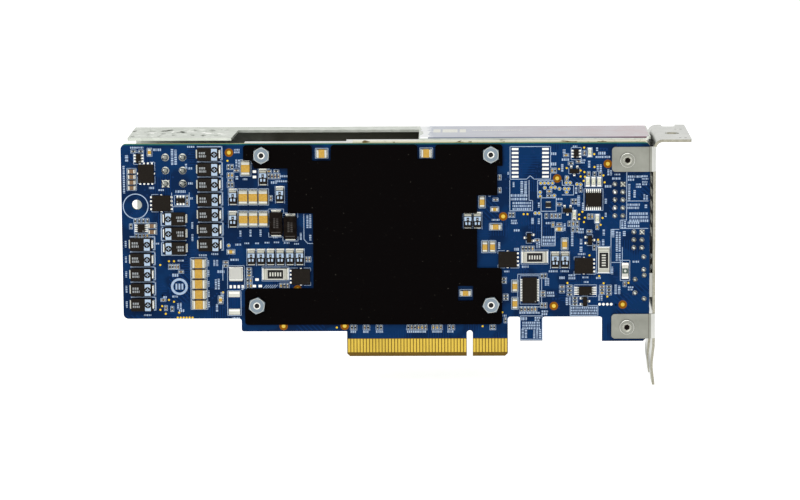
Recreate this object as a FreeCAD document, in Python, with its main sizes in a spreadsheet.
import FreeCAD, Part
import os
import Sketcher

# Passive accelerator card: a low-profile, half-length, dual-slot plug-in card.
#
# Frame: X runs along the card towards the bracket, Z runs up from the edge
# connector, Y runs through the board from the solder side (negative) to the
# component side (positive). The origin is the middle of the key notch, on the
# bottom edge of the contacts, at half the board's thickness.

Vector = FreeCAD.Vector
Rotation = FreeCAD.Rotation
Placement = FreeCAD.Placement

DIMENSIONS = {
    # Circuit board
    "board_thick": 1.57,
    "board_left": -110.5,
    "board_right": 57.15,
    "board_top": 68.6,
    "board_corner": 1.6,
    "left_floor": 12.4,
    "left_step": -72.8,
    "step_floor": 8.2,
    "latch_left": 12.15,
    "latch_roof": 12.75,
    "tab_left": 16.1,
    "tab_right": 23.2,
    "tab_floor": 5.0,
    "foot_left": 42.15,
    "foot_floor": 4.8,
    "foot_bevel": 1.9,
    # Edge connector
    "tongue_left": -39.15,
    "tongue_bevel": 1.3,
    "bevel_depth": 0.45,
    "tongue_corner": 0.9,
    "key_width": 1.9,
    "key_height": 8.4,
    "contact_width": 0.72,
    "contact_pitch": 1.0,
    "contact_floor": 1.35,
    "contact_height": 4.35,
    "contact_thick": 0.05,
    # Holes through the board
    "fixing_radius": 1.6,
    "fixing_x": -105.6,
    "fixing_z": 49.2,
    "power_hole_radius": 0.9,
    "header_hole_radius": 0.52,
    # Back plate and the hex standoffs that pass through it
    "plate_thick": 1.0,
    "plate_corner": 1.0,
    "standoff_flats": 4.8,
    "standoff_head": 1.5,
    "standoff_shank": 1.5,
    "standoff_bore": 1.05,
    "standoff_left_x": -65.8,
    "standoff_low_left_x": -67.7,
    "standoff_right_x": 6.8,
    "standoff_high": 65.1,
    "standoff_low": 16.9,
    # Heatsink
    "sink_left": -71.5,
    "sink_right": 38.0,
    "arm_right": 54.5,
    "arm_floor": 60.6,
    "base_near": 3.4,
    "base_far": 7.4,
    "base_top": 68.3,
    "base_floor": 15.0,
    "ledge_left": -39.2,
    "ledge_far": 11.6,
    "ledge_floor": 66.9,
    "fin_low": 21.0,
    "fin_pitch": 2.0,
    "fin_thick": 0.5,
    "fin_far": 29.6,
    "rail_thick": 3.2,
    # Screws
    "sink_screw_head": 2.1,
    "bracket_screw_head": 2.7,
    "cover_screw_head": 2.1,
    "cover_screw_radius": 1.0,
    "thread_depth": 3.0,
    "recess_width": 0.6,
    "recess_depth": 0.8,
    # Processor stack
    "package_size": 35.0,
    "package_thick": 1.1,
    "ball_margin": 1.5,
    "ball_height": 0.4,
    "lid_size": 31.0,
    "lid_thick": 1.2,
    "lid_step": 2.5,
    "memory_length": 10.8,
    "memory_width": 7.6,
    "memory_height": 1.1,
    # Power stage
    "choke_size": 9.6,
    "choke_height": 5.2,
    "choke_lift": 0.2,
    "choke_pitch": 12.2,
    "can_seat": 6.6,
    "can_radius": 3.15,
    "can_height": 5.6,
    "can_pitch": 7.6,
    # Shroud, one folded sheet
    "sheet": 0.8,
    "shroud_left": -108.5,
    "shroud_right": 57.4,
    "shroud_top": 70.2,
    "shroud_floor": 13.9,
    "shroud_near": 1.2,
    "shroud_far": 31.2,
    "shroud_bend": 1.4,
    "window_left": -75.5,
    "window_right": -16.0,
    "window_far": 21.2,
    # Bracket, one folded sheet
    "steel": 0.86,
    "bracket_back": 58.2,
    "bracket_near": -1.785,
    "bracket_far": 36.94,
    "bracket_edge": -0.185,
    "flange_right": 70.3,
    "flange_top": 69.6,
    "flange_bend": 2.9,
    "ear_left": 45.1,
    "ear_height": 7.9,
    "ear_low": 5.75,
    "ear_high": 59.35,
    "ear_corner": 1.1,
    "ear_bend": 1.46,
    "boss_radius": 2.2,
    "boss_height": 1.0,
    "boss_bore": 1.35,
    "screw_x": 50.0,
    "screw_low": 9.5,
    "screw_high": 63.1,
    "tongue_end": -9.6,
    "slot_spacing": 20.32,
    "slot_tongue": 10.2,
    "shoulder": 4.6,
    "vent_height": 2.5,
    "vent_pitch": 4.2,
    "bow_top": 3.0,
    "bow_middle": -3.2,
    "bow_depth": 0.75,
    "bow_radius": 14.0,
    "flange_hole_x": 64.9,
    "flange_hole_y": 14.3,
    "flange_hole_radius": 2.3,
    "notch_half": 2.2,
    "notch_depth": 4.9,
    # Moulded and ceramic parts
    "polymer_length": 6.5,
    "polymer_width": 4.0,
    "polymer_height": 1.9,
    "tantalum_length": 3.9,
    "tantalum_width": 2.5,
    "tantalum_height": 1.8,
    "ceramic_length": 4.4,
    "ceramic_width": 2.75,
    "ceramic_height": 1.8,
    "diode_length": 7.0,
    "diode_width": 4.2,
    "diode_height": 2.2,
    "fet_length": 6.2,
    "fet_case": 5.4,
    "fet_width": 5.0,
    "fet_height": 0.95,
    "shunt_length": 7.6,
    "shunt_width": 3.7,
    "shunt_height": 0.8,
    # Power connector
    "power_pitch": 4.2,
    "power_left": -110.2,
    "power_right": -97.7,
    "power_middle": 60.14,
    "power_depth": 9.9,
    "power_width": 13.9,
    "power_blade": 1.07,
    "power_near_x": -96.35,
    "power_far_x": -90.85,
    "socket_half": 1.75,
    "socket_depth": 9.5,
    "socket_row": 2.85,
    "latch_rise": 1.3,
    "latch_width": 3.4,
    # Service port and lamps
    "port_length": 8.4,
    "port_width": 7.7,
    "port_height": 3.9,
    "port_wall": 0.4,
    "port_x": 54.4,
    "lamp_case": 4.4,
    "lamp_case_width": 6.4,
    "lamp_x": 55.3,
    "lamp_offset": 1.8,
    "lamp_height": 2.2,
    "lamp_bore": 0.9,
    # Pin headers
    "header_pitch": 2.54,
    "header_pin": 0.64,
    "header_base": 2.5,
    "header_reach": 8.4,
}

doc = FreeCAD.newDocument("accelerator_card")
sheet = doc.addObject("Spreadsheet::Sheet", "dims")
for row, (alias, number) in enumerate(DIMENSIONS.items(), start=1):
    sheet.set(f"A{row}", alias)
    sheet.set(f"B{row}", str(number))
    sheet.setAlias(f"B{row}", alias)
doc.recompute()

nodes = []


# Helpers: expressions, sketches and PartDesign features

def value(expression):
    """Number that an expression over the sheet's cells gives."""
    return float(sheet.evalExpression(str(expression)))


def new_body(label):
    """PartDesign body that becomes a node of the card."""
    body = doc.addObject("PartDesign::Body", label)
    body.Label = label
    nodes.append(body)
    return body


def new_sketch(body, name, plane, offset):
    """Sketch on one of the body's origin planes, moved along the plane's normal."""
    sketch = body.newObject("Sketcher::SketchObject", name)
    role = [item for item in body.Origin.OriginFeatures if item.Role == plane]
    sketch.AttachmentSupport = [(role[0], "")]
    sketch.MapMode = "FlatFace"
    sketch.setExpression("AttachmentOffset.Base.z", str(offset))
    return sketch


def pin(sketch, kind, geometry, point, expression):
    """Dimension of a sketch that follows the sheet."""
    if point is None:
        rule = Sketcher.Constraint(kind, geometry, value(expression))
    else:
        rule = Sketcher.Constraint(kind, geometry, point, value(expression))
    index = sketch.addConstraint(rule)
    sketch.setExpression(f"Constraints[{index}]", str(expression))


def add_polygon(sketch, corners):
    """Closed run of straight lines through corners given as expressions."""
    first = sketch.GeometryCount
    places = [Vector(value(across), value(up), 0) for across, up in corners]
    for index, place in enumerate(places):
        following = places[(index + 1) % len(places)]
        sketch.addGeometry(Part.LineSegment(place, following), False)
    for index in range(len(places)):
        following = first + (index + 1) % len(places)
        sketch.addConstraint(Sketcher.Constraint("Coincident", first + index, 2, following, 1))
    for index, (across, up) in enumerate(corners):
        pin(sketch, "DistanceX", first + index, 1, across)
        pin(sketch, "DistanceY", first + index, 1, up)


def add_circle(sketch, across, up, radius):
    """Circle whose centre and radius are expressions."""
    centre = Vector(value(across), value(up), 0)
    index = sketch.addGeometry(Part.Circle(centre, Vector(0, 0, 1), value(radius)), False)
    pin(sketch, "Radius", index, None, radius)
    pin(sketch, "DistanceX", index, 3, across)
    pin(sketch, "DistanceY", index, 3, up)


def rectangle(left, low, right, high):
    """Corners of a rectangle, for add_polygon."""
    return [(left, low), (right, low), (right, high), (left, high)]


def polygon_sketch(body, name, corners, plane="XZ_Plane", offset="0"):
    """Sketch that holds one polygon."""
    sketch = new_sketch(body, name, plane, offset)
    add_polygon(sketch, corners)
    return sketch


def pad(body, sketch, length, side="One side", flipped=False):
    """Adds the sketch's outline to the body."""
    feature = body.newObject("PartDesign::Pad", sketch.Name + "_pad")
    feature.Profile = sketch
    feature.setExpression("Length", str(length))
    feature.SideType = side
    feature.Reversed = flipped
    doc.recompute()
    return feature


def pocket(body, sketch, length=None, flipped=False):
    """Cuts the sketch's outline out of the body, right through where no length is given."""
    before = body.Shape.Volume
    feature = body.newObject("PartDesign::Pocket", sketch.Name + "_pocket")
    feature.Profile = sketch
    if length is None:
        feature.Type = "ThroughAll"
        feature.SideType = "Symmetric"
    else:
        feature.setExpression("Length", str(length))
        feature.Reversed = flipped
    doc.recompute()
    if not body.Shape.Volume < before - 1e-6:
        raise RuntimeError(f"{feature.Name} cuts nothing")
    return feature


def repeat(body, feature, axis, length, count, name):
    """Linear pattern of one feature along an axis of the body's origin."""
    pattern = body.newObject("PartDesign::LinearPattern", name)
    pattern.Originals = [feature]
    role = [item for item in body.Origin.OriginFeatures if item.Role == axis]
    pattern.Direction = (role[0], [""])
    pattern.setExpression("Length", str(length))
    pattern.Occurrences = count
    body.Tip = pattern
    doc.recompute()
    return pattern


def edges_along(shape, axis, spots, reach=0.02):
    """Names of straight edges parallel to an axis that pass through one of the spots."""
    others = [index for index in range(3) if index != axis]
    names = []
    for number, edge in enumerate(shape.Edges, start=1):
        if edge.Curve.TypeId != "Part::GeomLine":
            continue
        direction = edge.tangentAt(edge.FirstParameter)
        if abs(abs(direction[axis]) - 1.0) > 1e-6:
            continue
        middle = edge.CenterOfMass
        for spot in spots:
            if all(abs(middle[other] - spot[place]) < reach for place, other in enumerate(others)):
                names.append(f"Edge{number}")
                break
    return names


def fillet(body, radius, axis, spots, name):
    """Rounds the edges parallel to an axis at the spots, given as pairs of expressions."""
    places = [(value(first), value(second)) for first, second in spots]
    base = body.Tip
    names = edges_along(base.Shape, axis, places)
    if len(names) < len(places):
        raise RuntimeError(f"{name} finds {len(names)} of {len(places)} edges")
    feature = body.newObject("PartDesign::Fillet", name)
    feature.Base = (base, names)
    feature.setExpression("Radius", str(radius))
    doc.recompute()
    return feature


def chamfer(body, size, axis, spots, name):
    """Cuts the edges parallel to an axis at the spots back by a flat."""
    places = [(value(first), value(second)) for first, second in spots]
    base = body.Tip
    feature = body.newObject("PartDesign::Chamfer", name)
    feature.Base = (base, edges_along(base.Shape, axis, places))
    feature.setExpression("Size", str(size))
    doc.recompute()
    return feature


# Helpers: Part primitives for the parts that are placed many times

def block(name, length, width, height, at=("0", "0", "0")):
    """Box centred on at in plan, standing on at's height."""
    box = doc.addObject("Part::Box", name)
    box.setExpression("Length", str(length))
    box.setExpression("Width", str(width))
    box.setExpression("Height", str(height))
    box.setExpression("Placement.Base.x", f"{at[0]} - ({length}) / 2")
    box.setExpression("Placement.Base.y", f"{at[1]} - ({width}) / 2")
    box.setExpression("Placement.Base.z", str(at[2]))
    return box


def rod(name, radius, height, at=("0", "0", "0")):
    """Upright cylinder standing on at."""
    cylinder = doc.addObject("Part::Cylinder", name)
    cylinder.setExpression("Radius", str(radius))
    cylinder.setExpression("Height", str(height))
    cylinder.setExpression("Placement.Base.x", str(at[0]))
    cylinder.setExpression("Placement.Base.y", str(at[1]))
    cylinder.setExpression("Placement.Base.z", str(at[2]))
    return cylinder


def cone(name, radius, top_radius, height, at=("0", "0", "0")):
    """Upright frustum standing on at."""
    frustum = doc.addObject("Part::Cone", name)
    frustum.setExpression("Radius1", str(radius))
    frustum.setExpression("Radius2", str(top_radius))
    frustum.setExpression("Height", str(height))
    frustum.setExpression("Placement.Base.x", str(at[0]))
    frustum.setExpression("Placement.Base.y", str(at[1]))
    frustum.setExpression("Placement.Base.z", str(at[2]))
    return frustum


def fused(name, pieces):
    """One solid out of several."""
    union = doc.addObject("Part::MultiFuse", name)
    union.Shapes = pieces
    union.Refine = True
    return union


def cut(name, base, tool):
    """Base without the tool."""
    difference = doc.addObject("Part::Cut", name)
    difference.Base = base
    difference.Tool = tool
    return difference


def crowned(name, base, size):
    """Bevels the four top edges of a moulded block."""
    doc.recompute()
    top = base.Shape.BoundBox.ZMax
    edges = []
    for number, edge in enumerate(base.Shape.Edges, start=1):
        if abs(edge.BoundBox.ZMin - top) < 1e-6:
            edges.append((number, size, size))
    bevel = doc.addObject("Part::Chamfer", name)
    bevel.Base = base
    bevel.Edges = edges
    return bevel


def facing(side, turn=0):
    """Turns a part that stands on its own XY plane so that it stands on the board's face."""
    lean = 90 if side == "solder" else -90
    return Rotation(Vector(1, 0, 0), lean) * Rotation(Vector(0, 0, 1), turn)


def face_height(side, lift=0.0):
    """Y of the board's face, or of a level above it."""
    level = value("dims.board_thick / 2") + lift
    return -level if side == "solder" else level


def place_all(label, placed, side="solder", lift=0.0):
    """Node made of copies: placed lists (master, x, z, turn)."""
    links = []
    for number, (master, x, z, turn) in enumerate(placed, start=1):
        link = doc.addObject("App::Link", f"{label}_{number}")
        link.LinkedObject = master
        link.LinkTransform = True
        spot = Vector(x, face_height(side, lift), z)
        link.Placement = Placement(spot, facing(side, turn))
        links.append(link)
    group = doc.addObject("Part::Compound", label)
    group.Label = label
    group.Links = links
    nodes.append(group)
    return group


# Places that several pieces share

STANDOFFS = [
    ("dims.standoff_left_x", "dims.standoff_high"),
    ("dims.standoff_right_x", "dims.standoff_high"),
    ("dims.standoff_low_left_x", "dims.standoff_low"),
    ("dims.standoff_right_x", "dims.standoff_low"),
]
BRACKET_SCREWS = [
    ("dims.screw_x", "dims.screw_low"),
    ("dims.screw_x", "dims.screw_high"),
]
POWER_ROWS = [f"dims.power_middle + {step} * dims.power_pitch" for step in (-1, 0, 1)]
DEBUG_HEADER = (47.35, 50.2, 2, 5)
CONFIG_HEADER = (53.45, 37.4, 2, 3)
PORT_HEIGHT = 22.6
LAMP_HEIGHT = 29.9
SHROUD_SCREWS_X = (-66.0, -14.0, 33.0)


def header_places(header):
    """X and Z of each pin of a header given as centre, columns and rows."""
    centre_x, centre_z, columns, rows = header
    pitch = value("dims.header_pitch")
    places = []
    for column in range(columns):
        for level in range(rows):
            x = centre_x + (column - (columns - 1) / 2) * pitch
            z = centre_z + (level - (rows - 1) / 2) * pitch
            places.append((x, z))
    return places


# Circuit board

def make_board():
    """Laminate with the edge connector's tongue, key notch, latch tab and holes."""
    body = new_body("circuit_board")
    outline = [
        ("dims.board_left", "dims.left_floor"),
        ("dims.left_step", "dims.left_floor"),
        ("dims.left_step", "dims.step_floor"),
        ("dims.tongue_left", "dims.step_floor"),
        ("dims.tongue_left", "0"),
        ("dims.latch_left", "0"),
        ("dims.latch_left", "dims.latch_roof"),
        ("dims.tab_left", "dims.latch_roof"),
        ("dims.tab_left", "dims.tab_floor"),
        ("dims.tab_right", "dims.tab_floor"),
        ("dims.tab_right", "dims.latch_roof"),
        ("dims.foot_left", "dims.latch_roof"),
        ("dims.foot_left", "dims.foot_floor"),
        ("dims.board_right", "dims.foot_floor"),
        ("dims.board_right", "dims.board_top"),
        ("dims.board_left", "dims.board_top"),
    ]
    sketch = polygon_sketch(body, "board_outline", outline)
    pad(body, sketch, "dims.board_thick", side="Symmetric")
    corners = [
        ("dims.board_left", "dims.left_floor"),
        ("dims.board_left", "dims.board_top"),
        ("dims.board_right", "dims.board_top"),
    ]
    fillet(body, "dims.board_corner", 1, corners, "board_corners")
    inner = [
        ("dims.latch_left", "dims.latch_roof"),
        ("dims.tab_left", "dims.latch_roof"),
        ("dims.tab_right", "dims.latch_roof"),
        ("dims.foot_left", "dims.latch_roof"),
        ("dims.left_step", "dims.left_floor"),
        ("dims.left_step", "dims.step_floor"),
    ]
    fillet(body, "dims.board_corner / 2", 1, inner, "board_inner_corners")
    chamfer(body, "dims.foot_bevel", 1, [("dims.board_right", "dims.foot_floor")], "foot_bevel")
    ends = [("dims.tongue_left", "0"), ("dims.latch_left", "0")]
    chamfer(body, "dims.tongue_corner", 1, ends, "tongue_corners")

    key = new_sketch(body, "key_notch", "XZ_Plane", "0")
    add_polygon(key, rectangle("-dims.key_width / 2", "-1", "dims.key_width / 2",
                               "dims.key_height - dims.key_width / 2"))
    pocket(body, key)
    crown = new_sketch(body, "key_crown", "XZ_Plane", "0")
    add_circle(crown, "0", "dims.key_height - dims.key_width / 2", "dims.key_width / 2")
    pocket(body, crown)

    holes = new_sketch(body, "board_holes", "XZ_Plane", "0")
    add_circle(holes, "dims.fixing_x", "dims.fixing_z", "dims.fixing_radius")
    for x, z in STANDOFFS + BRACKET_SCREWS:
        add_circle(holes, x, z, "dims.fixing_radius")
    for x in ("dims.power_near_x", "dims.power_far_x"):
        for z in POWER_ROWS:
            add_circle(holes, x, z, "dims.power_hole_radius")
    for x, z in header_places(DEBUG_HEADER) + header_places(CONFIG_HEADER):
        add_circle(holes, x, z, "dims.header_hole_radius")
    pocket(body, holes)

    bevels = new_sketch(body, "tongue_bevels", "YZ_Plane", "dims.tongue_left - 1")
    half = "dims.board_thick / 2"
    for sign in ("-", ""):
        add_polygon(bevels, [
            (f"{sign}({half} - dims.bevel_depth)", "0"),
            (f"{sign}({half})", "dims.tongue_bevel"),
            (f"{sign}({half} + 0.5)", "dims.tongue_bevel"),
            (f"{sign}({half} + 0.5)", "-0.5"),
            (f"{sign}({half} - dims.bevel_depth)", "-0.5"),
        ])
    pocket(body, bevels, "dims.latch_left - dims.tongue_left + 2", flipped=True)


def contact_places():
    """X of each contact: eleven on the short side of the key and thirty-eight on the long one."""
    pitch = value("dims.contact_pitch")
    places = []
    for index in range(11):
        places.append((1.5 + index) * pitch)
    for index in range(38):
        places.append(-(1.5 + index) * pitch)
    return places


def make_contacts(label, side):
    """Gold-plated fingers on one face of the tongue."""
    finger = block(label + "_finger", "dims.contact_width", "dims.contact_height",
                   "dims.contact_thick", ("0", "0", "0"))
    middle = value("dims.contact_floor + dims.contact_height / 2")
    place_all(label, [(finger, x, middle, 0) for x in contact_places()], side)


# Solder side: back plate and standoffs

PLATE_OUTLINE = [
    (-71.6, 10.5), (10.3, 10.5), (10.3, 28.6), (2.4, 28.6), (2.4, 52.0), (8.8, 52.0),
    (8.8, 61.4), (10.5, 61.4), (10.5, 68.2), (-10.8, 68.2), (-10.8, 63.6), (-16.4, 63.6),
    (-16.4, 68.2), (-43.9, 68.2), (-43.9, 63.2), (-49.8, 63.2), (-49.8, 68.2), (-71.6, 68.2),
    (-71.6, 63.4), (-69.2, 63.4), (-68.1, 60.8), (-57.6, 60.8), (-57.6, 46.4), (-49.7, 46.4),
    (-49.7, 22.2), (-71.6, 22.2),
]


def make_back_plate():
    """Stiffening plate with clearances for the parts on the solder side."""
    body = new_body("back_plate")
    face = "dims.board_thick / 2"
    sketch = polygon_sketch(body, "plate_outline", PLATE_OUTLINE, offset=face)
    pad(body, sketch, "dims.plate_thick")
    outside = [(-71.6, 10.5), (10.3, 10.5), (10.3, 28.6), (10.5, 68.2), (-71.6, 68.2), (-71.6, 22.2),
               (-10.8, 68.2), (-16.4, 68.2), (-43.9, 68.2), (-49.8, 68.2)]
    fillet(body, "dims.plate_corner", 1, outside, "plate_corners")
    windows = new_sketch(body, "plate_windows", "XZ_Plane", "0")
    add_polygon(windows, rectangle("-2.4", "41.2", "3.4", "46.3"))
    add_polygon(windows, rectangle("-3.7", "18.1", "1.1", "22.9"))
    for x, z in STANDOFFS:
        add_circle(windows, x, z, "dims.standoff_shank + 0.1")
    pocket(body, windows)


def make_standoffs():
    """Four hex standoffs: the head bears on the plate, the shank meets the heatsink."""
    head = doc.addObject("Part::Prism", "standoff_hex")
    head.Polygon = 6
    head.setExpression("Circumradius", "dims.standoff_flats / cos(30 deg) / 2")
    head.setExpression("Height", "dims.standoff_head")
    reach = "dims.plate_thick + dims.board_thick / 2 + dims.base_near"
    shank = rod("standoff_neck", "dims.standoff_shank", reach, ("0", "0", f"-({reach})"))
    bore = rod("standoff_hole", "dims.standoff_bore", f"{reach} + 10", ("0", "0", f"-({reach}) - 1"))
    standoff = cut("standoff", fused("standoff_solid", [head, shank]), bore)
    turns = (28, 30, 22, 8)
    placed = []
    for (x, z), turn in zip(STANDOFFS, turns):
        placed.append((standoff, value(x), value(z), turn))
    place_all("hex_standoffs", placed, "solder", value("dims.plate_thick"))


# Heatsink and what it cools

def make_heatsink():
    """Skived heatsink: base plate, a ledge along its top and fins that run along the card."""
    body = new_body("heatsink")
    fins = 17
    span = f"dims.fin_low + {fins} * dims.fin_pitch"
    profile = [
        ("dims.base_near", "dims.base_floor"),
        ("dims.base_near", "dims.base_top"),
        ("dims.base_far", "dims.base_top"),
        ("dims.base_far", "dims.base_floor"),
    ]
    base = polygon_sketch(body, "base_profile", profile, "YZ_Plane", "dims.sink_left")
    pad(body, base, "dims.sink_right - dims.sink_left")
    ledge = polygon_sketch(body, "ledge_profile", rectangle(
        "dims.base_far - 0.2", "dims.ledge_floor", "dims.ledge_far", "dims.base_top"),
        "YZ_Plane", "dims.ledge_left")
    pad(body, ledge, "dims.arm_right - dims.ledge_left")
    arm = polygon_sketch(body, "arm_outline", rectangle(
        "dims.sink_right - 1", "dims.arm_floor", "dims.arm_right", "dims.base_top"),
        offset="-dims.base_far")
    pad(body, arm, "dims.base_far - dims.base_near")
    rails = new_sketch(body, "rail_profiles", "YZ_Plane", "dims.sink_left")
    far = "dims.shroud_far - dims.sheet"
    near = "dims.base_far - 0.2"
    add_polygon(rails, rectangle(near, "dims.fin_low - dims.rail_thick", far, "dims.fin_low"))
    add_polygon(rails, rectangle(near, span, far, f"{span} + dims.rail_thick"))
    pad(body, rails, "dims.sink_right - dims.sink_left")
    fin = polygon_sketch(body, "fin_profile", rectangle(
        near, "dims.fin_low + dims.fin_pitch - dims.fin_thick / 2",
        "dims.fin_far", "dims.fin_low + dims.fin_pitch + dims.fin_thick / 2"),
        "YZ_Plane", "dims.sink_left")
    first = pad(body, fin, "dims.sink_right - dims.sink_left")
    repeat(body, first, "Z_Axis", f"{fins - 2} * dims.fin_pitch", fins - 1, "fin_row")

    holes = new_sketch(body, "base_holes", "XZ_Plane", "0")
    for x, z in STANDOFFS:
        add_circle(holes, x, z, "dims.standoff_bore + 0.1")
    pocket(body, holes)
    relief = new_sketch(body, "screw_reliefs", "XZ_Plane", "-dims.base_far")
    for x, z in STANDOFFS:
        add_circle(relief, x, z, "3.2")
    pocket(body, relief, "30")
    threads = new_sketch(body, "rail_holes", "XZ_Plane", "-dims.shroud_far + dims.sheet")
    for x in SHROUD_SCREWS_X:
        for z in ("dims.fin_low - dims.rail_thick / 2", f"{span} + dims.rail_thick / 2"):
            add_circle(threads, x, z, "dims.cover_screw_radius")
    pocket(body, threads, "6.0", flipped=True)
    return span


def make_screws(rail_high):
    """Pan-head screws: four hold the heatsink, two the bracket, six the shroud."""
    def screw(name, head_radius, head_height, shank_radius, shank_length):
        shank = rod(name + "_shank", shank_radius, f"{shank_length} + 0.1",
                    ("0", "0", f"-({shank_length})"))
        head = cone(name + "_head", head_radius, f"{head_radius} * 0.8", head_height)
        arm = f"{head_radius} * 1.2"
        floor = ("0", "0", f"{head_height} - dims.recess_depth")
        recess = fused(name + "_recess", [
            block(name + "_slot", arm, "dims.recess_width", "2", floor),
            block(name + "_cross", "dims.recess_width", arm, "2", floor),
        ])
        return cut(name, fused(name + "_solid", [shank, head]), recess)

    base = "dims.base_far - dims.base_near + dims.thread_depth"
    sink_screw = screw("sink_screw", "dims.sink_screw_head", "1.6", "dims.standoff_bore", base)
    placed = [(sink_screw, value(x), value(z), 20) for x, z in STANDOFFS]
    lift = value("dims.base_far - dims.board_thick / 2")
    place_all("heatsink_screws", placed, "component", lift)

    depth = "dims.board_thick + dims.steel + dims.boss_height - 0.3"
    bracket_screw = screw("bracket_screw", "dims.bracket_screw_head", "1.9", "dims.boss_bore", depth)
    placed = [(bracket_screw, value(x), value(z), 35) for x, z in BRACKET_SCREWS]
    place_all("bracket_screws", placed, "component")

    cover_screw = screw("cover_screw", "dims.cover_screw_head", "1.2", "dims.cover_screw_radius",
                        "dims.sheet + 4")
    placed = []
    for x in SHROUD_SCREWS_X:
        for z in ("dims.fin_low - dims.rail_thick / 2", f"{rail_high} + dims.rail_thick / 2"):
            placed.append((cover_screw, x, value(z), 15))
    lift = value("dims.shroud_far - dims.board_thick / 2")
    place_all("shroud_screws", placed, "component", lift)


def make_processor():
    """Ball-grid package with its metal lid and the pad that meets the heatsink."""
    centre = (-27.0, 42.0)
    inner = "dims.package_size - 2 * dims.ball_margin"
    field = block("ball_field", inner, inner, "dims.ball_height")
    laminate = block("package_laminate", "dims.package_size", "dims.package_size",
                     "dims.package_thick - dims.ball_height", ("0", "0", "dims.ball_height"))
    package = fused("package", [field, laminate])
    place_all("processor_package", [(package, *centre, 0)], "component")

    rim = block("lid_rim", "dims.lid_size", "dims.lid_size", "dims.lid_thick / 2")
    raised = "dims.lid_size - 2 * dims.lid_step"
    crown = block("lid_crown", raised, raised, "dims.lid_thick")
    lid = fused("lid", [rim, crown])
    place_all("processor_lid", [(lid, *centre, 0)], "component", value("dims.package_thick"))

    gap = "dims.base_near - dims.board_thick / 2 - dims.package_thick - dims.lid_thick"
    paste = block("interface_pad", f"{raised} - 1", f"{raised} - 1", gap)
    lift = value("dims.package_thick + dims.lid_thick")
    place_all("thermal_pad", [(paste, *centre, 0)], "component", lift)

    memory = block("memory_case", "dims.memory_width", "dims.memory_length", "dims.memory_height")
    placed = []
    for z in (58.4, 42.0, 25.6):
        placed.append((memory, -53.0, z, 0))
        placed.append((memory, -2.0, z, 0))
    for x in (-36.0, -18.0):
        placed.append((memory, x, 19.2, 90))
    place_all("memory_chips", placed, "component")


# Component side: power stage, connectors

def make_power_stage():
    """Chokes and can capacitors of the supply, beside the heatsink's base."""
    size = "dims.choke_size"
    core = crowned("choke_core", block("choke_block", size, size, "dims.choke_height",
                                       ("0", "0", "dims.choke_lift")), 0.6)
    feet = []
    for sign in (-1, 1):
        place = (f"{sign} * ({size} / 2 - 0.5)", "0", "0")
        feet.append(block(f"choke_foot_{sign + 1}", "2.2", "3.4", "3 * dims.choke_lift", place))
    choke = fused("choke", [core] + feet)
    pitch = value("dims.choke_pitch")
    placed = [(choke, -80.0, 26.0 + pitch * step, 90) for step in range(3)]
    placed.append((choke, -93.0, 26.0 + pitch, 90))
    place_all("power_chokes", placed, "component")

    seat = crowned("can_base", block("can_seat_block", "dims.can_seat", "dims.can_seat", "0.9"), 0.3)
    can = rod("can_shell", "dims.can_radius", "dims.can_height", ("0", "0", "0.8"))
    capacitor = fused("can", [seat, can])
    placed = [(capacitor, -105.0 + value("dims.can_pitch") * step, 19.6, 0) for step in range(3)]
    placed.append((capacitor, -105.0, 28.0, 0))
    place_all("can_capacitors", placed, "component")


def make_power_connector():
    """Six-way right-angle power header with square sockets and bent blades."""
    body = new_body("power_connector")
    half = "dims.power_width / 2"
    shell = polygon_sketch(body, "power_shell", rectangle(
        "dims.board_thick / 2", f"dims.power_middle - {half}",
        "dims.board_thick / 2 + dims.power_depth", f"dims.power_middle + {half}"),
        "YZ_Plane", "dims.power_left")
    pad(body, shell, "dims.power_right - dims.power_left")
    corners = [("dims.board_thick / 2 + dims.power_depth", f"dims.power_middle {sign} {half}")
               for sign in ("-", "+")]
    fillet(body, "0.8", 0, corners, "power_shell_corners")
    sockets = new_sketch(body, "power_sockets", "YZ_Plane", "dims.power_left")
    first_row = "dims.board_thick / 2 + dims.socket_row"
    for row_y in (first_row, f"{first_row} + dims.power_pitch"):
        for z in POWER_ROWS:
            side = "dims.socket_half"
            add_polygon(sockets, rectangle(f"{row_y} - {side}", f"{z} - {side}",
                                           f"{row_y} + {side}", f"{z} + {side}"))
    pocket(body, sockets, "dims.socket_depth", flipped=True)
    blades = new_sketch(body, "blade_holes", "YZ_Plane", "dims.power_left")
    width = "dims.power_blade / 2"
    for row_y in (first_row, f"{first_row} + dims.power_pitch"):
        for z in POWER_ROWS:
            add_polygon(blades, rectangle(f"{row_y} - {width}", f"{z} - {width}",
                                          f"{row_y} + {width}", f"{z} + {width}"))
    pocket(body, blades)

    roof = "dims.board_thick / 2 + dims.power_depth"
    latch = polygon_sketch(body, "latch_ramp", [
        ("dims.power_left + 2", roof),
        ("dims.power_left + 5.5", roof),
        ("dims.power_left + 5.5", f"{roof} + dims.latch_rise"),
        ("dims.power_left + 4.7", f"{roof} + dims.latch_rise"),
    ], "XY_Plane", "dims.power_middle - dims.latch_width / 2")
    pad(body, latch, "dims.latch_width")

    pins = new_body("power_connector_blades")
    for index, z in enumerate(POWER_ROWS):
        for row_y, x in ((first_row, "dims.power_near_x"),
                         (f"{first_row} + dims.power_pitch", "dims.power_far_x")):
            arm = polygon_sketch(pins, f"blade_{index}_{len(pins.Group)}", [
                ("dims.power_left + 2.2", f"{row_y} - {width}"),
                (f"{x} - {width}", f"{row_y} - {width}"),
                (f"{x} - {width}", "-dims.board_thick / 2"),
                (f"{x} + {width}", "-dims.board_thick / 2"),
                (f"{x} + {width}", f"{row_y} + {width}"),
                ("dims.power_left + 2.2", f"{row_y} + {width}"),
            ], "XY_Plane", z)
            pad(pins, arm, "dims.power_blade", side="Symmetric")


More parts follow.
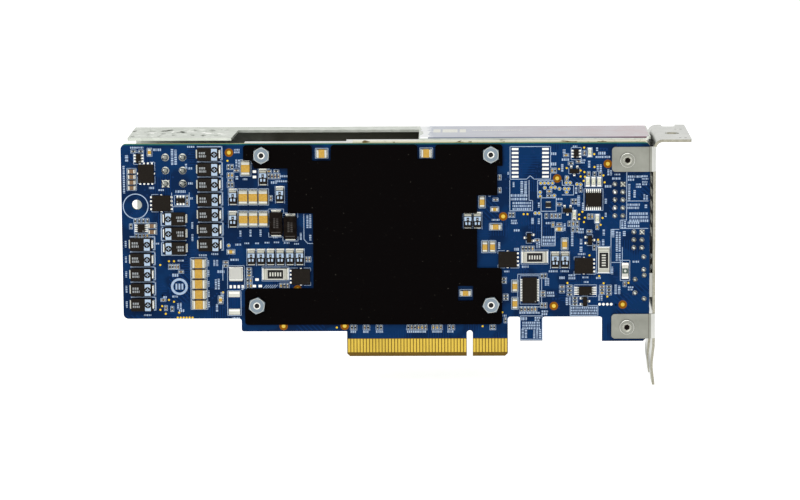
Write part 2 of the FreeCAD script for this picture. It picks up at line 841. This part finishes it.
def make_headers():
    """Two pin headers on the component side; each pin ends level with the solder face."""
    for label, header in (("debug_header", DEBUG_HEADER), ("config_header", CONFIG_HEADER)):
        centre_x, centre_z, columns, rows = header
        body = new_body(label)
        wide = f"{columns} * dims.header_pitch"
        tall = f"{rows} * dims.header_pitch"
        base = polygon_sketch(body, label + "_outline", rectangle(
            f"{centre_x} - {wide} / 2", f"{centre_z} - {tall} / 2",
            f"{centre_x} + {wide} / 2", f"{centre_z} + {tall} / 2"),
            offset="-dims.board_thick / 2")
        pad(body, base, "dims.header_base", flipped=True)
        ways = new_sketch(body, label + "_ways", "XZ_Plane", "0")
        for x, z in header_places(header):
            half = "dims.header_pin / 2"
            add_polygon(ways, rectangle(f"{x} - {half}", f"{z} - {half}",
                                        f"{x} + {half}", f"{z} + {half}"))
        pocket(body, ways)
        reach = "dims.header_reach + dims.board_thick"
        post = block(label + "_pin", "dims.header_pin", "dims.header_pin", reach,
                     ("0", "0", "-dims.board_thick"))
        placed = [(post, x, z, 0) for x, z in header_places(header)]
        place_all(label + "_pins", placed, "component")


def make_ports():
    """Management socket and the lamp block that look out through the bracket."""
    wall = "dims.port_wall"
    outer = block("port_can", "dims.port_length", "dims.port_width", "dims.port_height")
    inner = block("port_mouth", "dims.port_length", f"dims.port_width - 2 * {wall}",
                  f"dims.port_height - 2 * {wall}", ("1.6", "0", wall))
    tongue = block("port_tongue", "6.0", "4.4", "0.8", ("-0.6", "0", "1.5"))
    shell = cut("port_hollow", outer, inner)
    port = fused("port", [shell, tongue])
    place_all("service_port", [(port, value("dims.port_x"), PORT_HEIGHT, 0)], "component")

    case = block("lamp_block", "dims.lamp_case", "dims.lamp_case_width", "dims.lamp_case")
    ways = lamp_bores("lamp_way", "4")
    holder = cut("lamp_body", case, fused("lamp_ways", ways))
    spot = (value("dims.lamp_x"), LAMP_HEIGHT, 0)
    place_all("lamp_holder", [(holder, *spot)], "component")
    guides = fused("guide_pair", lamp_bores("lamp_guide", "3.2"))
    place_all("lamp_guides", [(guides, *spot)], "component")


def lamp_bores(name, length):
    """Two level cylinders side by side that point towards the bracket."""
    pair = []
    for end, side in (("low", "-dims.lamp_offset"), ("high", "dims.lamp_offset")):
        bore = rod(f"{name}_{end}", "dims.lamp_bore", length, ("0", side, "dims.lamp_height"))
        bore.Placement = Placement(bore.Placement.Base, Rotation(Vector(0, 1, 0), 90))
        pair.append(bore)
    return pair


# Shroud

def make_shroud(rail_high):
    """Folded cover: a far wall with a top and a bottom wall, and a window in the top one."""
    body = new_body("shroud")
    profile = [
        ("dims.shroud_near", "dims.shroud_top"),
        ("dims.shroud_far", "dims.shroud_top"),
        ("dims.shroud_far", "dims.shroud_floor"),
        ("dims.shroud_near", "dims.shroud_floor"),
        ("dims.shroud_near", "dims.shroud_floor + dims.sheet"),
        ("dims.shroud_far - dims.sheet", "dims.shroud_floor + dims.sheet"),
        ("dims.shroud_far - dims.sheet", "dims.shroud_top - dims.sheet"),
        ("dims.shroud_near", "dims.shroud_top - dims.sheet"),
    ]
    sketch = polygon_sketch(body, "shroud_profile", profile, "YZ_Plane", "dims.shroud_left")
    pad(body, sketch, "dims.shroud_right - dims.shroud_left")
    outside = [("dims.shroud_far", z) for z in ("dims.shroud_top", "dims.shroud_floor")]
    fillet(body, "dims.shroud_bend", 0, outside, "outer_bends")
    inside = [("dims.shroud_far - dims.sheet", z)
              for z in ("dims.shroud_top - dims.sheet", "dims.shroud_floor + dims.sheet")]
    fillet(body, "dims.shroud_bend - dims.sheet", 0, inside, "inner_bends")

    window = polygon_sketch(body, "top_window", [
        ("dims.window_left", "dims.shroud_near - 1"),
        ("dims.window_right", "dims.shroud_near - 1"),
        ("dims.window_right", "dims.window_far"),
        ("dims.window_left + 1", "dims.window_far"),
    ], "XY_Plane", "dims.shroud_top + 1")
    pocket(body, window, "dims.sheet + 2")
    tips = [("dims.shroud_left", "dims.shroud_near"), ("dims.shroud_right", "dims.shroud_near"),
            ("dims.window_left", "dims.shroud_near")]
    fillet(body, "0.9", 2, tips, "wall_tips")

    holes = new_sketch(body, "cover_holes", "XZ_Plane", "-dims.shroud_far - 1")
    for x in SHROUD_SCREWS_X:
        for z in ("dims.fin_low - dims.rail_thick / 2", f"{rail_high} + dims.rail_thick / 2"):
            add_circle(holes, x, z, "dims.cover_screw_radius + 0.15")
    pocket(body, holes, "dims.sheet + 2", flipped=True)


# Bracket

def add_vents(body, name, left, right, level, count):
    """Column of vent slots with pointed ends, from the lowest level upwards."""
    sketch = new_sketch(body, name, "YZ_Plane", "dims.bracket_back + 3")
    half = "dims.vent_height / 2"
    add_polygon(sketch, [
        (left, level), (f"{left} + {half}", f"{level} - {half}"),
        (f"{right} - {half}", f"{level} - {half}"), (right, level),
        (f"{right} - {half}", f"{level} + {half}"), (f"{left} + {half}", f"{level} + {half}"),
    ])
    slot = pocket(body, sketch, "8")
    repeat(body, slot, "Z_Axis", f"{count - 1} * dims.vent_pitch", count, name + "_column")


def make_bracket():
    """Dual-slot bracket: plate, top flange, two tongues, vents and two threaded ears."""
    body = new_body("bracket")
    back = "dims.bracket_back"
    front = "(dims.bracket_back + dims.steel)"
    profile = [
        ("dims.flange_right", "dims.flange_top - dims.steel"),
        ("dims.flange_right", "dims.flange_top"),
        (back, "dims.flange_top"),
        (back, "dims.bow_top"),
        (f"{back} - dims.bow_depth", "dims.bow_middle"),
        (back, "dims.tongue_end"),
        (front, "dims.tongue_end"),
        (f"{front} - dims.bow_depth", "dims.bow_middle"),
        (front, "dims.bow_top"),
        (front, "dims.flange_top - dims.steel"),
    ]
    sketch = polygon_sketch(body, "bracket_profile", profile, "XZ_Plane", "-dims.bracket_near")
    pad(body, sketch, "dims.bracket_far - dims.bracket_near", flipped=True)
    fillet(body, "dims.flange_bend", 1, [(back, "dims.flange_top")], "flange_outer_bend")
    fillet(body, "dims.flange_bend - dims.steel", 1,
           [(front, "dims.flange_top - dims.steel")], "flange_inner_bend")
    fillet(body, "dims.bow_radius", 1, [(f"{side} - dims.bow_depth", "dims.bow_middle")
                                        for side in (back, front)], "tongue_bow")

    trims = new_sketch(body, "plate_trims", "YZ_Plane", "dims.bracket_back + 3")
    near = "dims.bracket_near"
    low = "dims.tongue_end - 1"
    first = "dims.bracket_edge + 0.2"
    add_polygon(trims, [
        (f"{near} - 1", low), (first, low), (first, "dims.shoulder"),
        ("dims.bracket_edge", "dims.shoulder"), ("dims.bracket_edge", "66.9"), (f"{near} - 1", "66.9"),
    ])
    add_polygon(trims, rectangle(f"{first} + dims.slot_tongue", low,
                                 f"{first} + dims.slot_spacing", "dims.shoulder"))
    add_polygon(trims, rectangle(f"{first} + dims.slot_spacing + dims.slot_tongue", low,
                                 "dims.bracket_far + 1", "dims.shoulder"))
    pocket(body, trims, "8")

    windows = new_sketch(body, "port_windows", "YZ_Plane", "dims.bracket_back + 3")
    face = "dims.board_thick / 2"
    half = "dims.port_width / 2 + 0.25"
    add_polygon(windows, rectangle(f"{face} - 0.25", f"{PORT_HEIGHT} - ({half})",
                                   f"{face} + dims.port_height + 0.25", f"{PORT_HEIGHT} + {half}"))
    for sign in ("-", "+"):
        level = f"{LAMP_HEIGHT} {sign} dims.lamp_offset"
        add_circle(windows, f"{face} + dims.lamp_height", level, "dims.lamp_bore + 0.1")
    pocket(body, windows, "8")

    add_vents(body, "far_vents", "18.6", "34.2", "9.4", 14)
    add_vents(body, "near_vents", "3.6", "15.4", "38.8", 7)

    screws = new_sketch(body, "flange_cuts", "XY_Plane", "dims.flange_top + 1")
    notch_floor = "dims.bracket_far - dims.notch_depth"
    sides = ("dims.flange_hole_x - dims.notch_half", "dims.flange_hole_x + dims.notch_half")
    add_polygon(screws, rectangle(sides[0], notch_floor, sides[1], "dims.bracket_far + 1"))
    add_circle(screws, "dims.flange_hole_x", "dims.flange_hole_y", "dims.flange_hole_radius")
    pocket(body, screws, "dims.steel + 2")
    fillet(body, "1.4", 2, [(side, notch_floor) for side in sides], "flange_notch_corners")
    fillet(body, "0.9", 2, [("dims.flange_right", near), ("dims.flange_right", "dims.bracket_far")],
           "flange_corners")

    outer = f"-({face} + dims.steel)"
    for index, level in enumerate(("dims.ear_low", "dims.ear_high")):
        ear = polygon_sketch(body, f"ear_{index}", [
            ("dims.ear_left", outer), (front, outer), (front, f"{near} + 3"), (back, f"{near} + 3"),
            (back, f"-({face})"), ("dims.ear_left", f"-({face})"),
        ], "XY_Plane", level)
        pad(body, ear, "dims.ear_height")
    fillet(body, "dims.ear_bend", 2, [(front, outer)], "ear_outer_bends")
    fillet(body, "dims.ear_bend - dims.steel", 2, [(back, f"-({face})")], "ear_inner_bends")
    tips = []
    for level in ("dims.ear_low", "dims.ear_high"):
        tips.append(("dims.ear_left", level))
        tips.append(("dims.ear_left", f"{level} + dims.ear_height"))
    fillet(body, "dims.ear_corner", 1, tips, "ear_corners")
    bosses = new_sketch(body, "ear_bosses", "XZ_Plane", f"{face} + dims.steel - 0.1")
    for x, z in BRACKET_SCREWS:
        add_circle(bosses, x, z, "dims.boss_radius")
    pad(body, bosses, "dims.boss_height + 0.1")
    bores = new_sketch(body, "ear_bores", "XZ_Plane", f"{face} + dims.steel + dims.boss_height + 1")
    for x, z in BRACKET_SCREWS:
        add_circle(bores, x, z, "dims.boss_bore")
    pocket(body, bores, "dims.steel + dims.boss_height + 2")


# Solder side: moulded, ceramic and leaded parts

def moulded(name, length, width, height, bevel, lead_width, lead_out):
    """Moulded case with a folded terminal at each end, standing on the XY plane."""
    case = crowned(name + "_case", block(name + "_block", length, width, f"{height} - 0.1",
                                         ("0", "0", "0.1")), bevel)
    terminals = []
    for end, sign in (("left", "-"), ("right", "")):
        middle = f"{sign}(({length}) / 2)"
        terminals.append(block(f"{name}_{end}_terminal", f"2 * ({lead_out})", lead_width,
                               f"{height} * 0.42", (middle, "0", "0")))
    return fused(name, [case] + terminals)


def ceramic(name, length, width, height):
    """Ceramic chip with plated ends a little larger than its middle."""
    middle = block(name + "_middle", length, f"{width} - 0.1", f"{height} - 0.1", ("0", "0", "0.05"))
    ends = []
    for end, sign in (("left", "-"), ("right", "")):
        centre = f"{sign}(({length}) / 2 - ({length}) / 11)"
        ends.append(block(f"{name}_{end}_end", f"({length}) / 5.5", width, height, (centre, "0", "0")))
    return fused(name, [middle] + ends)


def leaded(name, length, width, height, pins, pitch, lead, reach):
    """Moulded chip with a row of leads along each long side."""
    case = crowned(name + "_case", block(name + "_block", length, width, f"{height} - 0.1",
                                         ("0", "0", "0.1")), 0.12)
    leads = []
    for number in range(pins):
        x = f"{number - (pins - 1) / 2} * {pitch}"
        leads.append(block(f"{name}_lead_{number}", lead, f"{width} + 2 * {reach}", "0.3", (x, "0", "0")))
    return fused(name, [case] + leads)


def make_bulk_capacitors():
    """Polymer capacitors in three columns at the supply end."""
    polymer = moulded("polymer", "dims.polymer_length", "dims.polymer_width", "dims.polymer_height",
                      0.25, "2.6", "0.4")
    columns = [
        ("bulk_capacitors_inner", -82.7, 65.4, 4.83, 7, 180),
        ("bulk_capacitors_middle", -93.6, 44.8, 4.75, 3, 0),
        ("bulk_capacitors_outer", -104.5, 36.6, 4.87, 5, 180),
    ]
    for label, x, top, pitch, count, turn in columns:
        place_all(label, [(polymer, x, top - pitch * step, turn) for step in range(count)])


def make_tantalums():
    """Small tantalum capacitors: a row of six and the odd ones by the regulators."""
    tantalum = moulded("tantalum", "dims.tantalum_length", "dims.tantalum_width",
                       "dims.tantalum_height", 0.2, "1.6", "0.3")
    placed = [(tantalum, -69.4 + 3.08 * step, 32.2, 90) for step in range(6)]
    for x, z in ((27.2, 31.0), (30.3, 31.0), (-75.0, 51.6), (-75.1, 44.4), (-65.4, 57.9), (-60.1, 52.3),
                 (-0.5, 43.8), (2.5, 43.8)):
        placed.append((tantalum, x, z, 90))
    place_all("tantalum_capacitors", placed)


def make_ceramics():
    """Multilayer ceramic capacitors in their banks."""
    large = ceramic("large_ceramic", "dims.ceramic_length", "dims.ceramic_width", "dims.ceramic_height")
    placed = [(large, -86.2, 30.4 - 3.32 * step, 0) for step in range(5)]
    place_all("ceramic_capacitors_input", placed)
    placed = [(large, x, z, 90) for z in (51.6, 44.6) for x in (-71.75, -68.6, -65.4)]
    placed.append((large, -70.9, 60.9, 90))
    place_all("ceramic_capacitors_core", placed)
    square = ceramic("square_ceramic", "3.3", "2.6", "dims.ceramic_height")
    place_all("ceramic_capacitors_edge", [(square, x, 65.5, 0) for x in (-46.7, -13.6)])
    slim = ceramic("slim_ceramic", "3.2", "1.6", "1.2")
    placed = [(slim, x, z, 90) for x, z in (
        (4.9, 35.4), (7.3, 35.4), (30.2, 36.2), (14.4, 22.7), (14.4, 17.1), (4.0, 49.8))]
    placed.append((slim, 8.3, 41.8, 0))
    placed.append((slim, -1.3, 20.5, 0))
    place_all("ceramic_capacitors_regulator", placed)
    short = ceramic("short_ceramic", "2.3", "1.25", "1.1")
    placed = [(short, -107.1, 60.0 - 1.77 * step, 0) for step in range(4)]
    placed += [(short, -100.9, 42.5 - 1.95 * step, 0) for step in range(2)]
    place_all("ceramic_capacitors_gate", placed)


def make_power_parts():
    """Power transistors, diodes, current shunts and the metal-topped driver."""
    fet = fused("fet", [
        crowned("fet_case", block("fet_block", "dims.fet_case", "dims.fet_width", "dims.fet_height"), 0.1),
    ] + [block(f"fet_lead_{number}", "dims.fet_length", "0.6", "0.3",
               ("0", f"{number - 1.5} * 1.27", "0")) for number in range(4)])
    placed = [(fet, x, z, turn) for x, z, turn in (
        (-102.5, 59.2, 90), (-97.8, 49.7, 0), (-53.7, 25.9, 0), (12.1, 31.3, 0), (36.3, 29.2, 0))]
    place_all("power_transistors", placed)
    diode = moulded("diode", "dims.diode_length", "dims.diode_width", "dims.diode_height", 0.4,
                    "3.0", "0.6")
    place_all("freewheel_diodes", [(diode, x, z, 90) for x, z in ((-61.4, 43.2), (-56.9, 41.9))])
    shunt = moulded("shunt", "dims.shunt_length - 1.6", "dims.shunt_width", "dims.shunt_height",
                    0.12, "dims.shunt_width", "0.8")
    place_all("current_shunts", [(shunt, -61.8, 26.8, 0), (shunt, 20.7, 32.0, 0), (shunt, 42.6, 31.0, 90)])
    driver = fused("driver", [block("driver_case", "4.4", "4.2", "0.9"),
                              block("driver_top", "3.6", "3.4", "1.1")])
    place_all("driver_module", [(driver, -74.4, 27.0, 0)])


def switch_case():
    """Small transistor: two leads on one long side and one on the other."""
    case = crowned("switch_case", block("switch_block", "2.9", "1.3", "0.9", ("0", "0", "0.1")), 0.12)
    leads = [block("switch_output", "0.45", "1.25", "0.3", ("0", "-0.6", "0"))]
    for side in (-1, 1):
        leads.append(block(f"switch_input_{side + 1}", "0.45", "1.25", "0.3", (f"{side} * 0.95", "0.6", "0")))
    return fused("switch", [case] + leads)


def make_chips():
    """Controllers and supervisors with their leads."""
    sequencer = leaded("sequencer", "5.0", "4.4", "1.0", 8, 0.62, "0.28", "0.9")
    place_all("sequencer_chip", [(sequencer, 39.3, 50.4, 0)])
    controller = leaded("controller", "8.2", "4.6", "0.95", 14, 0.52, "0.24", "0.5")
    place_all("controller_chip", [(controller, 19.1, 21.4, 90)])
    monitor = leaded("monitor", "2.8", "4.1", "0.9", 5, 0.55, "0.25", "1.1")
    place_all("monitor_chip", [(monitor, 36.8, 21.1, 90)])
    gate = leaded("gate_driver", "2.7", "2.2", "0.9", 4, 0.65, "0.3", "0.65")
    supervisor = leaded("supervisor", "2.9", "1.5", "0.9", 3, 0.95, "0.45", "0.6")
    placed = [(gate, -104.3, 41.7, 90)]
    placed += [(supervisor, x, z, turn) for x, z, turn in (
        (-104.8, 64.1, 90), (-91.7, 50.6, 0), (33.8, 65.1, 90))]
    switch = switch_case()
    placed += [(switch, x, z, turn) for x, z, turn in (
        (33.2, 59.6, 0), (31.1, 47.0, 0), (18.9, 38.2, -90), (38.2, 37.4, 90), (36.7, 17.7, 90))]
    placed.append((block("sensor", "1.8", "1.4", "0.7"), 25.0, 48.8, 0))
    place_all("small_chips", placed)
    fuse = moulded("fuse", "3.9", "2.2", "1.0", 0.1, "2.2", "0.7")
    place_all("input_fuse", [(fuse, 49.4, 27.6, 90)])
    lamp = ceramic("lamp", "2.2", "1.2", "0.7")
    place_all("status_lamps", [(lamp, 37.5 + 1.8 * step, 56.1, 90) for step in range(3)])


def make_solder_joints():
    """Domed joints where leads come through to the solder side."""
    big = cone("big_joint", "1.35", "0.7", "1.0")
    small = cone("small_joint", "0.85", "0.4", "0.9")
    placed = []
    for x in ("dims.power_near_x", "dims.power_far_x"):
        for z in POWER_ROWS:
            placed.append((big, value(x), value(z), 0))
    for x, z in header_places(DEBUG_HEADER) + header_places(CONFIG_HEADER):
        placed.append((small, x, z, 0))
    for x, z in ((55.3, 31.9), (55.3, 27.8), (55.5, 26.0), (52.6, 24.7), (52.6, 20.3), (55.5, 18.4)):
        placed.append((small, x, z, 0))
    place_all("solder_joints", placed)


def make_small_passives():
    """Small resistors and capacitors: rows as start, step, count and turn, then single ones."""
    chip = block("small_chip", "1.0", "0.5", "0.4")
    larger = block("larger_chip", "2.0", "1.1", "0.6")
    rows = [
        (-106.2, 44.0, 1.3, 0.0, 4, 90), (-105.9, 39.3, 1.15, 0.0, 4, 90),
        (-76.3, 61.2, 1.1, 0.0, 2, 90), (-76.3, 58.6, 1.1, 0.0, 2, 90),
        (-76.3, 55.5, 1.1, 0.0, 2, 90), (-63.5, 59.8, 2.3, 0.0, 2, 0),
        (-63.6, 58.2, 1.05, 0.0, 4, 90), (-95.4, 29.2, 0.85, 0.0, 4, 90),
        (-77.6, 30.6, 0.0, -1.1, 2, 0), (-70.2, 28.4, 0.0, -1.0, 3, 0),
        (-70.7, 24.7, 1.0, 0.0, 2, 90), (-70.7, 23.0, 1.0, 0.0, 2, 90),
        (-51.9, 31.5, 0.95, 0.0, 2, 90), (-60.1, 23.0, 1.05, 0.0, 3, 90),
        (-37.6, 9.4, 1.1, 0.0, 2, 90), (-33.5, 9.4, 1.1, 0.0, 2, 90),
        (-29.4, 9.4, 1.1, 0.0, 2, 90), (-19.6, 9.4, 1.1, 0.0, 6, 90),
        (-11.6, 9.4, 1.2, 0.0, 3, 90), (-6.5, 9.4, 1.2, 0.0, 2, 90), (6.9, 9.4, 0.9, 0.0, 2, 90),
        (12.9, 45.6, 1.0, 0.0, 2, 90), (26.2, 59.7, 0.9, 0.0, 2, 90),
        (26.1, 45.2, 1.25, 0.0, 3, 90), (31.7, 42.7, 1.25, 0.0, 3, 90),
        (32.8, 40.8, 1.4, 0.0, 2, 90), (32.7, 49.8, 1.0, 0.0, 2, 90),
        (37.8, 58.5, 1.8, 0.0, 3, 90), (37.9, 45.0, 1.0, 0.0, 2, 90),
        (42.1, 22.4, 0.0, -1.0, 3, 0), (44.3, 22.4, 0.0, -1.1, 3, 0),
        (31.8, 22.5, 0.0, -1.3, 3, 0), (33.5, 18.7, 0.0, -1.0, 3, 0),
        (29.4, 22.4, 0.0, -1.5, 2, 0), (16.9, 34.7, 1.05, 0.0, 4, 90),
        (23.0, 25.9, 1.1, 0.0, 2, 90), (23.3, 20.6, 0.0, -0.95, 2, 0),
        (23.0, 16.4, 1.1, 0.0, 2, 90), (16.5, 15.2, 1.1, 0.0, 5, 90),
        (10.9, 25.0, 0.0, -1.0, 2, 0), (11.5, 19.6, 0.0, -1.0, 2, 0),
    ]
    level = [
        (-106.4, 66.3), (-104.0, 66.3), (-75.8, 57.0), (-73.8, 60.1), (-91.9, 27.6),
        (-97.7, 18.5), (8.3, 50.5), (25.3, 53.1), (25.3, 51.7), (32.1, 62.0), (34.6, 62.6),
        (30.6, 64.6), (28.5, 48.9), (28.5, 42.5), (33.2, 44.0), (38.0, 40.2), (21.5, 37.4),
    ]
    upright = [
        (-107.6, 42.3), (-89.6, 51.4), (-89.6, 49.6), (-63.0, 51.2), (-96.9, 15.9), (-94.9, 15.6),
        (9.6, 57.6), (9.6, 53.5), (30.8, 57.2), (36.4, 65.3), (26.5, 42.4), (24.4, 45.2), (35.2, 53.6),
        (40.5, 41.6), (40.9, 36.3), (39.6, 35.0), (49.3, 23.2), (11.4, 11.6),
    ]
    placed = [(chip, x, z, 0) for x, z in level]
    placed += [(chip, x, z, 90) for x, z in upright]
    placed += [(larger, -75.9, 34.0, 0), (larger, 8.0, 47.4, 0), (larger, 28.4, 41.0, 0)]
    placed += [(larger, x, z, 90) for x, z in (
        (-101.3, 66.0), (-79.4, 18.5), (38.1, 65.5), (33.2, 45.6), (40.5, 44.3))]
    for x, z, step_x, step_z, count, turn in rows:
        for step in range(count):
            placed.append((chip, x + step_x * step, z + step_z * step, turn))
    place_all("small_passives", placed)


make_board()
make_contacts("edge_contacts_solder_side", "solder")
make_contacts("edge_contacts_component_side", "component")
make_back_plate()
make_standoffs()
rail_high = make_heatsink()
make_screws(rail_high)
make_processor()
make_power_stage()
make_power_connector()
make_headers()
make_ports()
make_shroud(rail_high)
make_bracket()
make_bulk_capacitors()
make_tantalums()
make_ceramics()
make_power_parts()
make_chips()
make_solder_joints()
make_small_passives()
doc.recompute()

os.makedirs("parts", exist_ok=True)
for item in doc.Objects:
    if "Invalid" in item.State or "Error" in item.State:
        raise RuntimeError(f"{item.Name} is {item.State}")
for node in nodes:
    if node.Shape.isNull() or not node.Shape.isValid():
        raise RuntimeError(f"{node.Label} has no valid shape")
    node.Shape.exportStep(f"parts/{node.Label}.step")
    print(node.Label, len(node.Shape.Solids), round(node.Shape.Volume, 1))
